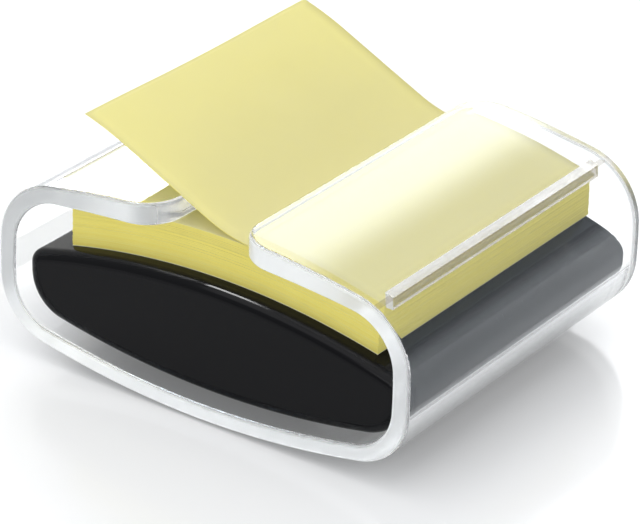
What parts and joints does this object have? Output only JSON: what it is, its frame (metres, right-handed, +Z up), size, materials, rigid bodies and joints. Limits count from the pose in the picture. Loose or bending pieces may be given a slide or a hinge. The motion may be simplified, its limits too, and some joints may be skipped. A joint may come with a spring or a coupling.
{
  "type": "sticky note dispenser",
  "caption": "Clear lens-shaped sleeve with a slot along its top, round a weighted black base that slides out like a drawer and carries a bowed pad of pop-up notes.",
  "frame": {"origin": "on the table, under the middle of the sleeve", "axes": "+X along the front, to the right; +Y from the front to the back; +Z up"},
  "size_m": [0.101, 0.0868, 0.0547],
  "materials": {
    "clear_plastic": "clear and polished",
    "clear_rubber": "clear, soft",
    "black_plastic": "glossy moulded",
    "cover_plastic": "fine moulded texture",
    "screw_steel": "zinc plated",
    "glide_rubber": "smooth",
    "foam": "closed-cell foam",
    "ballast_steel": "rolled plate, oiled",
    "liner_paper": "smooth, waxed",
    "note_paper": "uncoated"
  },
  "bodies": {
    "sleeve": {"clear_sleeve": "clear_plastic", "sleeve_feet": "clear_rubber"},
    "drawer": {"base_housing": "black_plastic", "bottom_cover": "cover_plastic", "cover_screws": "screw_steel", "glide_strips": "glide_rubber", "foam_strips": "foam", "lower_ballast_plate": "ballast_steel", "upper_ballast_plate": "ballast_steel", "pad_liner": "liner_paper", "note_pad": "note_paper", "popped_note_tail": "note_paper"},
    "note_flap": {"popped_note_flap": "note_paper"}
  },
  "joints": [
    {"name": "drawer_slide", "type": "slide", "parent": "sleeve", "child": "drawer", "axis": [0, -1, 0], "range_m": [0, 0.08]},
    {"name": "note_lift", "type": "hinge", "parent": "drawer", "child": "note_flap", "pos_m": [0.00812, 0.00278, 0.03801], "axis": [0, 1, 0], "range_deg": [0, 60]}
  ]
}
